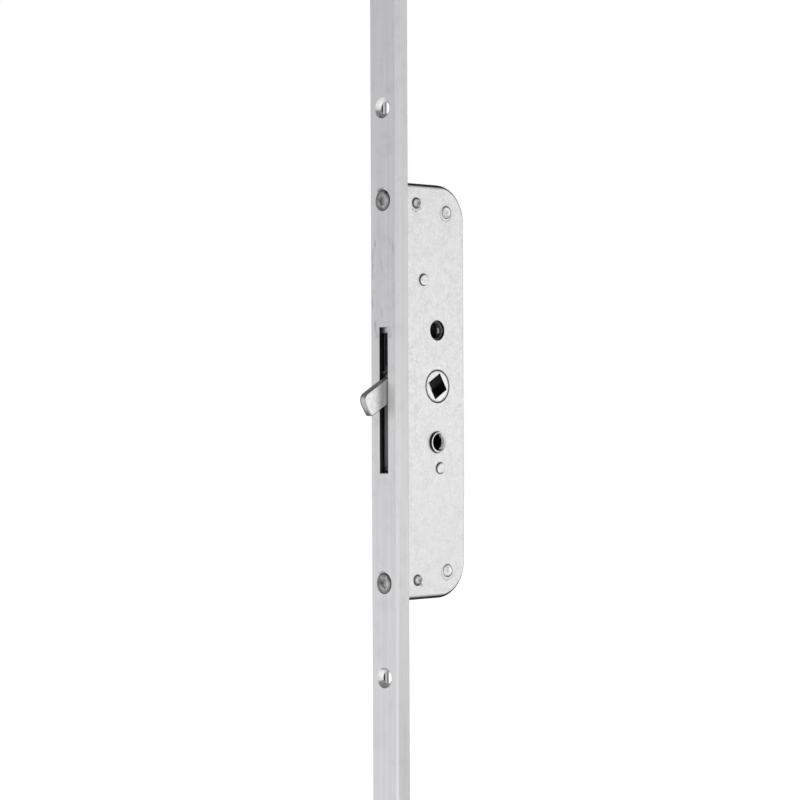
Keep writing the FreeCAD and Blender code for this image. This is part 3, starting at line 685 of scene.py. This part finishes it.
def case_finish():
    # Mottled galvanised sheet with painted dark reflections over its bends and pressed ends, painted shade
    # behind the slot, and a painted lit strip and glint seen through it.
    finish = Finish("galvanised_sheet", grey(231), 0.95, 0.36)
    tree = finish.tree
    zinc = finish.use(zinc_mottle, cloud=230.0, crystal=1250.0)
    finish.tint(add_ramp(tree, zinc["Clouds"], 0.42, 0.68), grey(208, 1), 0.55)
    grit = finish.use(zinc_mottle, cloud=900.0, crystal=3000.0)
    finish.tint(add_ramp(tree, grit["Clouds"], 0.5, 0.75), grey(190, 1), 0.45)
    finish.tint(add_ramp(tree, zinc["Crystals"], 0.45, 0.9), grey(244), 0.6)
    finish.tint(add_ramp(tree, zinc["Fine"], 0.52, 0.72), grey(192, 1), 0.55)
    lower_end = add_ramp(tree, split(tree, finish.place)["Z"], 0.0, -60.0 * mm)
    finish.tint(lower_end, grey(205), 0.2)
    # Painted shade on the part behind the slot.
    behind_slot = finish.box((-4.1, -23.5, -60.0), (4.1, -19.9, 60.0), 0.05)
    finish.tint(behind_slot, grey(12), 0.98)
    # Painted light on a strip behind the slot.
    lit_strip = finish.box((-4.6, -21.5, -32.4), (-2.5, -19.0, 3.0), 0.3)
    finish.tint(lit_strip, grey(246), 0.95)
    finish.unplate(lit_strip, 0.75)
    # A painted glint behind the slot.
    glint = both(tree, finish.ring(-21.1, 6.0, 0.0, 2.4)["Mask"], behind_slot)
    finish.tint(glint, grey(250))
    finish.unplate(glint, 0.8)
    pits = finish.use(specks, spread=330.0, size=0.11, share=0.2)["Mask"]
    finish.tint(pits, grey(150), 0.6)
    finish.rub_edges(0.2, 700.0, grey(190), 0.5)
    # Painted dark reflections over the bends, darkest at the pressed ends.
    bend = finish.use(sheet_bend, breakup=400.0)
    finish.tint(bend["Mask"], grey(190), 0.5)
    finish.tint(bend["Ends"], grey(62), 0.95)
    # Painted dark reflections over the folds at the top and bottom ends.
    for low, high in ((75.6, 78.5), (-82.5, -79.6)):
        dark_fold_reflection = finish.box((0.0, -21.5, low), (5.0, 4.0, high), 1.1)
        finish.tint(dark_fold_reflection, grey(80), 0.9)
    finish.draw_rings(case_marks())
    finish.roughen(zinc["Crystals"], 0.1)
    finish.raise_by(zinc["Clouds"], 0.8)
    finish.raise_by(zinc["Fine"], 0.6)
    finish.raise_by(pits, -0.6)
    return finish.finished(0.012)


def darken_proud_walls(finish, level):
    # Paints shade on the side walls that stand out of the case's near face.
    walls = add_ramp(finish.tree, add_math(finish.tree, "ABSOLUTE", facing(finish.tree)["X"]), 0.75, 0.35)
    outside = finish.box((case_half - 0.02, -endless, -endless), (endless, endless, endless), 0.02)
    finish.tint(both(finish.tree, walls, outside), grey(level), 0.95)


def darken_square_edge(finish, half, turn):
    # Paints shade round the edge of a square hole along X, given its half side and its turn.
    reach = []
    for direction in ((0.0, math.cos(turn), math.sin(turn)), (0.0, -math.sin(turn), math.cos(turn))):
        along = finish.tree.nodes.new("ShaderNodeVectorMath")
        along.operation = "DOT_PRODUCT"
        finish.tree.links.new(finish.place, along.inputs[0])
        along.inputs[1].default_value = direction
        reach.append(add_math(finish.tree, "ABSOLUTE", along.outputs["Value"]))
    furthest = add_math(finish.tree, "MAXIMUM", reach[0], reach[1])
    finish.tint(add_ramp(finish.tree, furthest, (half + 0.28) * mm, (half + 0.14) * mm), grey(8))


def plain_metal(name, colour, roughness, wear=None, relief=0.006, boxes=(), rings=(), proud=None,
                square=None):
    # A plated or machined piece: faint clouds, fine tool marks and rubbed edges. Each box is (lowest
    # corner, highest corner, grey level, unplating), and rings are marks for draw_rings. proud is the grey
    # level of the painted shade on its proud side walls, and square the half side and turn of its square
    # hole, round whose edge shade is painted.
    finish = Finish(name, colour, 1.0, roughness)
    zinc = finish.use(zinc_mottle, cloud=420.0, crystal=2200.0)
    darker = tuple(value * 0.72 for value in colour[:3]) + (1.0,)
    lighter = tuple(min(1.0, value * 1.25 + 0.02) for value in colour[:3]) + (1.0,)
    finish.tint(add_ramp(finish.tree, zinc["Clouds"], 0.4, 0.7), darker, 0.5)
    finish.tint(add_ramp(finish.tree, zinc["Fine"], 0.55, 0.8), lighter, 0.4)
    finish.rub_edges(0.15, 1100.0, wear or lighter, 0.7)
    if proud is not None:
        darken_proud_walls(finish, proud)
    for low, high, level, unplating in boxes:
        patch = finish.box(low, high, 0.04)
        finish.tint(patch, grey(level))
        if unplating:
            finish.unplate(patch, unplating)
    if square is not None:
        darken_square_edge(finish, *square)
    finish.draw_rings(rings)
    finish.roughen(zinc["Fine"], 0.12)
    finish.raise_by(zinc["Fine"], 1.0)
    finish.raise_by(zinc["Clouds"], 0.5)
    return finish.finished(relief)


def dark_bore(height, reach, near_end):
    # A patch of painted shade round an X-wise hole, from just inside the case's far face up to near_end.
    return (0.08 - case_half, -reach, height - reach), (near_end, reach, height + reach), 6, 0.0


def hub_finish():
    # The spindle hub, with painted shade in its square and round the square's edge, and dark just inside
    # its rim.
    ring = (0.0, 0.0, hub_radius - 0.2, 0.75, 50, 0.95)
    bore = dark_bore(0.0, 5.2, case_half - 0.08)
    return plain_metal("turned_hub_steel", grey(240), 0.25, boxes=[bore], rings=[ring],
                       square=(spindle_square / 2, spindle_turn))


def bush_finish():
    # The lower bush: painted shade in its bore and on its proud walls, behind a lip and a rim whose far
    # sides are paled with painted light.
    # Painted shade in the bore.
    bore = dark_bore(-fixing_bush_z, 4.5, case_half - 1.0)
    # Painted light on the far sides of the lip and the rim.
    lip = ((case_half - 1.0, 1.4, -26.0), (case_half + 0.6, 3.4, -17.0), 250, 0.8)
    rim = ((case_half + 0.6, 2.2, -26.0), (case_half + 1.2, 4.4, -17.0), 212, 0.8)
    return plain_metal("turned_bush_steel", grey(238), 0.25, boxes=[bore, lip, rim], proud=20)


def dark_bush_finish():
    # The upper bush: painted shade darkens its bore and its recessed lip, up to a small painted glint.
    bore = dark_bore(fixing_bush_z, 4.5, case_half - 3.1)
    # A small painted glint on the bore's wall.
    glint = ((0.8, 2.6, 20.5), (2.0, 3.3, 22.6), 250, 0.9)
    # Painted shade on the recessed lip.
    lip = (0.0, fixing_bush_z, 3.5, 0.5, 70, 0.85)
    return plain_metal("dark_bush_steel", grey(128), 0.4, wear=grey(140), boxes=[bore, glint], rings=[lip])


def bolt_finish():
    # Bright plated steel. Its cut edges are duller than its faces, and its faces dull towards the slot.
    # Shade is painted on its downward cut edges, its far side and its faces towards the slot, and light
    # just inside the slot.
    finish = Finish("tumbled_bolt_steel", grey(243), 0.95, 0.36)
    tree = finish.tree
    zinc = finish.use(zinc_mottle, cloud=420.0, crystal=2200.0)
    finish.tint(add_ramp(tree, zinc["Clouds"], 0.4, 0.7), grey(215), 0.6)
    dents = finish.use(zinc_mottle, cloud=1000.0, crystal=2600.0)
    finish.tint(add_ramp(tree, dents["Clouds"], 0.48, 0.7), grey(186), 0.55)
    finish.tint(add_ramp(tree, zinc["Fine"], 0.55, 0.8), grey(250), 0.4)
    lean = facing(tree)
    flat = add_math(tree, "ABSOLUTE", lean["X"])
    finish.tint(add_ramp(tree, flat, 0.35, 0.1), grey(180, 1), 0.9)
    cut_edge = add_ramp(tree, flat, 0.9, 0.7)
    # Painted shade on the downward cut edges, darkest underneath.
    shaded_end_face = both(tree, add_ramp(tree, lean["Z"], -0.1, -0.45), cut_edge)
    finish.tint(shaded_end_face, grey(158), 0.75)
    shaded_underside = both(tree, add_ramp(tree, lean["Z"], -0.5, -0.64), cut_edge)
    finish.tint(shaded_underside, grey(48), 0.95)
    corner = both(tree, add_ramp(tree, flat, 0.95, 0.85), add_ramp(tree, flat, 0.2, 0.5))
    finish.tint(corner, grey(138), 0.7)
    place = split(tree, finish.place)
    # Painted shade on the far side.
    shaded_far_edge = add_ramp(tree, place["X"], -0.4 * mm, -1.0 * mm)
    finish.tint(shaded_far_edge, grey(66), 0.9)
    face = add_ramp(tree, flat, 0.8, 0.95)
    # Painted shade on the faces towards the slot.
    shade_towards_slot = both(tree, add_ramp(tree, place["Y"], -30.4 * mm, -26.7 * mm), face)
    finish.tint(shade_towards_slot, grey(158), 0.85)
    dull_root = both(tree, add_ramp(tree, place["Y"], -27.4 * mm, -25.8 * mm), face)
    finish.unplate(dull_root, 0.85)
    # Painted light on the faces just inside the slot.
    light_in_slot = both(tree, add_ramp(tree, place["Y"], -26.2 * mm, -25.2 * mm), face)
    finish.tint(light_in_slot, grey(205), 0.8)
    finish.rub_edges(0.2, 1100.0)
    finish.roughen(zinc["Fine"], 0.12)
    finish.raise_by(zinc["Fine"], 1.0)
    finish.raise_by(zinc["Clouds"], 0.6)
    return finish.finished(0.01)


def screw_finish():
    # Dull steel that the zinc around it has stained, with darker rims, painted shade at the upper right of
    # each head and on its socket's left, and a painted highlight on its socket's right.
    finish = Finish("worn_screw_steel", grey(172), 0.95, 0.45)
    tree = finish.tree
    stains = finish.use(zinc_mottle, cloud=480.0, crystal=1500.0)
    finish.tint(add_ramp(tree, stains["Clouds"], 0.4, 0.62), grey(104), 0.85)
    finish.tint(add_ramp(tree, stains["Fine"], 0.5, 0.75), grey(196), 0.5)
    for height in case_screw_heights:
        rim = [(0.0, height, 3.5, 0.9, 100, 0.7), (-0.3, height - 0.3, 4.0, 0.9, 52, 0.6)]
        # Painted shade at the upper right of the head.
        shade = [(1.5, height + 2.9, 0.0, 0.9, 14, 0.95), (2.2, height + 2.3, 0.0, 1.0, 14, 0.95),
                 (2.9, height + 1.5, 0.0, 0.9, 14, 0.95)]
        # Painted shade over the socket's left side and a painted highlight on its right side.
        socket = [(-1.5, height + 0.2, 0.0, 2.2, 84, 0.85), (1.5, height - 0.3, 0.0, 1.8, 205, 0.7)]
        finish.draw_rings(rim + shade + socket, out_of_front)
    finish.rub_edges(0.15, 1100.0)
    finish.roughen(stains["Fine"], 0.12)
    finish.raise_by(stains["Clouds"], 1.0)
    finish.raise_by(stains["Fine"], 0.5)
    return finish.finished(0.02)


def rivet_rings():
    # Where the press closed each rivet. The front ones have a smear that breaks their ring, and the rear
    # ones a painted highlight to their right.
    rings = []
    for y, z in front_rivets:
        rings.append((y, z, 0.0, 3.5, 180, 0.7))
        rings.append((y - 0.1, z, 1.75, 1.0, 56, 0.95))
        rings.append((y + 1.7, z + 1.0, 0.0, 1.3, 232, 0.95))
        rings.append((y + 1.7, z - 1.1, 0.0, 1.2, 225, 0.9))
        rings.append((y + 1.0, z - 0.1, 0.0, 1.1, 88, 0.95))
    for y, z in rear_rivets:
        rings.append((y + 0.1, z, 1.95, 0.5, 95, 0.55 if z > 0 else 0.25))
        rings.append((y + 0.3, z + 0.2, 0.0, 0.9, 170, 0.4))
        # Painted highlight on the rear rivet's right side.
        rings.append((y + 2.3, z - 0.4, 0.0, 2.0, 250, 1.0))
    return rings


def rod_finish():
    # Plated flat bar. The walls of its punched slots carry painted shade at the front and painted light
    # further in.
    finish = Finish("plated_rod_steel", grey(205), 1.0, 0.38)
    tree = finish.tree
    grain = finish.use(drawing_lines, across=3000.0, along=50.0)
    finish.tint(add_ramp(tree, grain["Lines"], 0.45, 0.7), grey(180, 1), 0.5)
    finish.rub_edges(0.2, 900.0, grey(225), 0.6)
    sideways = add_ramp(tree, add_math(tree, "ABSOLUTE", facing(tree)["Y"]), 0.5, 0.2)
    # Painted shade on the front of each slot wall, and painted light further in.
    depths = [(-24.0, -22.2, 30, 0.0), (-22.2, -21.4, 250, 0.8), (-21.4, -20.0, 150, 0.4)]
    for front, back, level, unplating in depths:
        wall = both(tree, sideways, finish.box((-2.9, front, -endless), (2.9, back, endless), 0.04))
        finish.tint(wall, grey(level), 0.95)
        if unplating:
            finish.unplate(wall, unplating)
    finish.roughen(grain["Bands"], 0.1)
    finish.raise_by(grain["Lines"], 1.0)
    return finish.finished(0.006)


def guide_finish():
    # Black moulded plastic with a faint grain and scuffed edges.
    finish = Finish("moulded_black_nylon", (0.03, 0.03, 0.032, 1.0), 0.0, 0.5)
    grain = finish.use(zinc_mottle, cloud=600.0, crystal=2600.0)
    finish.tint(add_ramp(finish.tree, grain["Clouds"], 0.4, 0.7), (0.045, 0.045, 0.047, 1.0), 0.6)
    finish.rub_edges(0.2, 900.0, (0.1, 0.1, 0.1, 1.0), 0.6)
    finish.roughen(grain["Fine"], 0.15)
    finish.raise_by(grain["Fine"], 1.0)
    return finish.finished(0.01)


finishes = {
    "faceplate_steel": faceplate_finish(),
    "case_steel": case_finish(),
    "hub_steel": hub_finish(),
    "bolt_steel": bolt_finish(),
    "rivet_steel": plain_metal("pressed_rivet_steel", grey(228), 0.3, rings=rivet_rings(), proud=48),
    "screw_steel": screw_finish(),
    "bush_steel": bush_finish(),
    "dark_bush": dark_bush_finish(),
    # The slides inside the case are coloured dark as painted shade.
    "slide_steel": plain_metal("shade_dark_slide_steel", grey(50), 0.4, wear=grey(90)),
    "lug_zinc": plain_metal("cast_lug_zinc", grey(110), 0.55, relief=0.02),
    "rod_steel": rod_finish(),
    "guide_plastic": guide_finish(),
}


# Turned and set pieces. Each profile is rows of (radius, height, hexagon share) in mm from the seat
# surface, from the inner end round to the middle of the head, or back to the inner end of a tube.

front_rivet_profile = [(1.85, -8.0, 0), (2.0, -7.85, 0), (2.0, -0.2, 0), (1.97, 0.02, 0), (1.8, 0.11, 0),
                       (1.55, 0.14, 0), (1.2, 0.1, 0), (0.8, 0.06, 0), (0.4, 0.03, 0)]
rear_rivet_profile = [(2.15, -8.0, 0), (2.3, -7.85, 0), (2.3, -0.2, 0), (2.25, 0.02, 0), (2.05, 0.12, 0),
                      (1.75, 0.15, 0), (1.4, 0.11, 0), (1.2, 0.04, 0), (0.95, 0.08, 0), (0.6, 0.1, 0),
                      (0.42, 0.02, 0), (0.25, -0.12, 0)]
case_screw_profile = [(1.8, -11.0, 0), (2.0, -10.8, 0), (2.0, -2.0, 0), (2.15, -1.75, 0), (3.72, -0.2, 0),
                      (3.82, -0.1, 0), (3.78, -0.03, 0), (3.6, 0.0, 0), (3.1, -0.04, 0), (2.85, -0.12, 0),
                      (2.6, -0.05, 0), (1.85, -0.03, 0.6), (1.6, -0.06, 1), (1.5, -0.15, 1), (1.4, -0.4, 1),
                      (0.7, -0.42, 1)]
lower_bush_profile = [(3.85, -8.0, 0), (3.85, -1.0, 0), (4.05, -1.0, 0), (4.05, 0.78, 0), (4.0, 0.92, 0),
                      (3.88, 0.99, 0), (3.7, 1.0, 0), (3.56, 0.97, 0), (3.46, 0.88, 0), (3.1, 0.5, 0),
                      (3.05, 0.4, 0), (3.05, -8.0, 0)]
upper_bush_profile = [(3.85, -8.0, 0), (3.85, -1.1, 0), (3.8, -0.95, 0), (3.65, -0.9, 0), (3.35, -0.9, 0),
                      (3.15, -0.98, 0), (3.05, -1.2, 0), (3.05, -8.0, 0)]


def pin_profile(head):
    # A guide pin whose head of the given radius is rounded over and has a faint centre mark.
    rows = [(1.45, -8.0, 0), (1.6, -7.85, 0), (1.6, 0.0, 0), (head, 0.0, 0), (head, 0.16, 0)]
    rows += [(head - 0.08, 0.36, 0), (head - 0.24, 0.53, 0), (head - 0.5, 0.65, 0), (head - 0.85, 0.69, 0)]
    return rows + [(0.7, 0.7, 0), (0.45, 0.68, 0), (0.2, 0.62, 0)]


def turned_mesh(name, profile, hollow, sides=72):
    # Turns a profile about Z. A hollow one is a closed tube, and any other is closed by its two ends.
    shape = bmesh.new()
    rings = []
    for radius, height, hexagon in profile:
        ring = []
        for number in range(sides):
            angle = 2 * math.pi * number / sides
            from_flat = (angle + math.pi / 6) % (math.pi / 3) - math.pi / 6
            reach = radius * (1 + hexagon * (1 / math.cos(from_flat) - 1))
            x, y = reach * math.cos(angle), reach * math.sin(angle)
            ring.append(shape.verts.new((x * mm, y * mm, height * mm)))
        rings.append(ring)
    joined = list(zip(rings, rings[1:]))
    if hollow:
        joined.append((rings[-1], rings[0]))
    for low, high in joined:
        for number in range(sides):
            after = (number + 1) % sides
            shape.faces.new((low[number], low[after], high[after], high[number]))
    if not hollow:
        for ring in (rings[0], rings[-1]):
            middle = shape.verts.new((0.0, 0.0, ring[0].co.z))
            for number in range(sides):
                shape.faces.new((ring[number], ring[(number + 1) % sides], middle))
    bmesh.ops.recalc_face_normals(shape, faces=shape.faces[:])
    mesh = bpy.data.meshes.new(name)
    shape.to_mesh(mesh)
    shape.free()
    return mesh


def make_fastener_tree():
    # Puts a fastener on each point, turned at random about its own axis, with a slightly uneven surface.
    tree = bpy.data.node_groups.new("fasteners_on_points", "GeometryNodeTree")
    sockets = [("Points", "NodeSocketGeometry"), ("Fastener", "NodeSocketObject"),
               ("Turn", "NodeSocketVector"), ("Seed", "NodeSocketInt"), ("Unevenness", "NodeSocketFloat"),
               ("Grain", "NodeSocketFloat"), ("Finish", "NodeSocketMaterial")]
    for name, kind in sockets:
        tree.interface.new_socket(name=name, in_out="INPUT", socket_type=kind)
    tree.interface.new_socket(name="Geometry", in_out="OUTPUT", socket_type="NodeSocketGeometry")
    given = tree.nodes.new("NodeGroupInput")
    result = tree.nodes.new("NodeGroupOutput")
    link = tree.links.new
    source = tree.nodes.new("GeometryNodeObjectInfo")
    link(given.outputs["Fastener"], source.inputs["Object"])
    placed = tree.nodes.new("GeometryNodeInstanceOnPoints")
    link(given.outputs["Points"], placed.inputs["Points"])
    link(source.outputs["Geometry"], placed.inputs["Instance"])
    link(given.outputs["Turn"], placed.inputs["Rotation"])
    chance = tree.nodes.new("FunctionNodeRandomValue")
    chance.data_type = "FLOAT"
    chance.inputs[3].default_value = 2 * math.pi
    link(given.outputs["Seed"], chance.inputs["Seed"])
    about = tree.nodes.new("ShaderNodeCombineXYZ")
    link(chance.outputs[1], about.inputs["Z"])
    spun = tree.nodes.new("GeometryNodeRotateInstances")
    link(placed.outputs[0], spun.inputs["Instances"])
    link(about.outputs[0], spun.inputs["Rotation"])
    real = tree.nodes.new("GeometryNodeRealizeInstances")
    link(spun.outputs[0], real.inputs["Geometry"])
    place = tree.nodes.new("GeometryNodeInputPosition")
    noise = tree.nodes.new("ShaderNodeTexNoise")
    link(place.outputs[0], noise.inputs["Vector"])
    link(given.outputs["Grain"], noise.inputs["Scale"])
    swell = add_math(tree, "SUBTRACT", noise.outputs["Fac"], 0.5)
    swell = add_math(tree, "MULTIPLY", swell, given.outputs["Unevenness"])
    outward = tree.nodes.new("GeometryNodeInputNormal")
    shift = tree.nodes.new("ShaderNodeVectorMath")
    shift.operation = "SCALE"
    link(outward.outputs[0], shift.inputs[0])
    link(swell, shift.inputs["Scale"])
    uneven = tree.nodes.new("GeometryNodeSetPosition")
    link(real.outputs[0], uneven.inputs["Geometry"])
    link(shift.outputs[0], uneven.inputs["Offset"])
    smooth = tree.nodes.new("GeometryNodeSetShadeSmooth")
    link(uneven.outputs[0], smooth.inputs["Geometry"])
    dressed = tree.nodes.new("GeometryNodeSetMaterial")
    link(smooth.outputs[0], dressed.inputs["Geometry"])
    link(given.outputs["Finish"], dressed.inputs["Material"])
    link(dressed.outputs[0], result.inputs["Geometry"])
    return tree


fastener_tree = make_fastener_tree()
towards_near_side = (0.0, math.pi / 2, 0.0)
towards_front = (math.pi / 2, 0.0, 0.0)
sharp_above = math.radians(38)


def set_fasteners(node, profile, places, turn, hollow=False, unevenness=0.0, grain=900.0):
    # Stands for a CAD node of the case: the fastener that the profile gives, at each place.
    slot = [entry["material_slot"] for entry in frame["record"]["subparts"] if entry["node"] == node][0]
    pattern = bpy.data.objects.new(node + "_pattern", turned_mesh(node + "_pattern", profile, hollow))
    points = bpy.data.meshes.new(node + "_points")
    points.from_pydata([tuple(value * mm for value in place) for place in places], [], [])
    holder = bpy.data.objects.new(node + "_points", points)
    bpy.context.scene.collection.objects.link(holder)
    bpy.context.scene.collection.objects.link(pattern)
    modifier = holder.modifiers.new("fasteners", "NODES")
    modifier.node_group = fastener_tree
    values = {"Fastener": pattern, "Turn": turn, "Seed": len(node), "Unevenness": unevenness * mm,
              "Grain": grain, "Finish": finishes[slot]}
    for socket in fastener_tree.interface.items_tree:
        if socket.item_type == "SOCKET" and socket.name in values:
            modifier[socket.identifier] = values[socket.name]
    shown = holder.evaluated_get(bpy.context.evaluated_depsgraph_get())
    mesh = bpy.data.meshes.new_from_object(shown)
    mesh.name = node + "_detail"
    mesh.set_sharp_from_angle(angle=sharp_above)
    bpy.data.objects.remove(holder)
    bpy.data.objects.remove(pattern)
    piece = bpy.data.objects.new(node + "_detail", mesh)
    bpy.context.scene.collection.objects.link(piece)
    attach(piece, "case")
    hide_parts(node)


def set_all_fasteners():
    front_places = [(case_half, y, z) for y, z in front_rivets]
    rear_places = [(case_half, y, z) for y, z in rear_rivets]
    screw_places = [(0.0, faceplate_front, z) for z in case_screw_heights]
    set_fasteners("front_corner_rivets", front_rivet_profile, front_places, towards_near_side,
                  unevenness=0.22, grain=1100.0)
    set_fasteners("rear_corner_rivets", rear_rivet_profile, rear_places, towards_near_side, unevenness=0.06)
    set_fasteners("upper_guide_pin", pin_profile(upper_pin_head), [(case_half, *upper_pin)],
                  towards_near_side, unevenness=0.03)
    set_fasteners("lower_guide_pin", pin_profile(lower_pin_head), [(case_half, *lower_pin)],
                  towards_near_side, unevenness=0.03)
    set_fasteners("case_screws", case_screw_profile, screw_places, towards_front, unevenness=0.12,
                  grain=800.0)
    set_fasteners("upper_fixing_bush", upper_bush_profile, [(case_half, 0.0, fixing_bush_z)],
                  towards_near_side, hollow=True)
    set_fasteners("lower_fixing_bush", lower_bush_profile, [(case_half, 0.0, -fixing_bush_z)],
                  towards_near_side, hollow=True)


def dress_cad_nodes():
    for entry in frame["record"]["subparts"]:
        mesh = frame["nodes"][entry["node"]].data
        mesh.materials.clear()
        mesh.materials.append(finishes[entry["material_slot"]])


make_camera()
make_world()
make_floor()
make_lamp("key_softbox", azimuth=110.0, height=0.3, distance=1.1, size=0.8, power=key_power)
make_lamp("side_softbox", azimuth=-35.0, height=0.2, distance=1.2, size=0.9, power=side_power)
make_cards()
dress_cad_nodes()
set_all_fasteners()
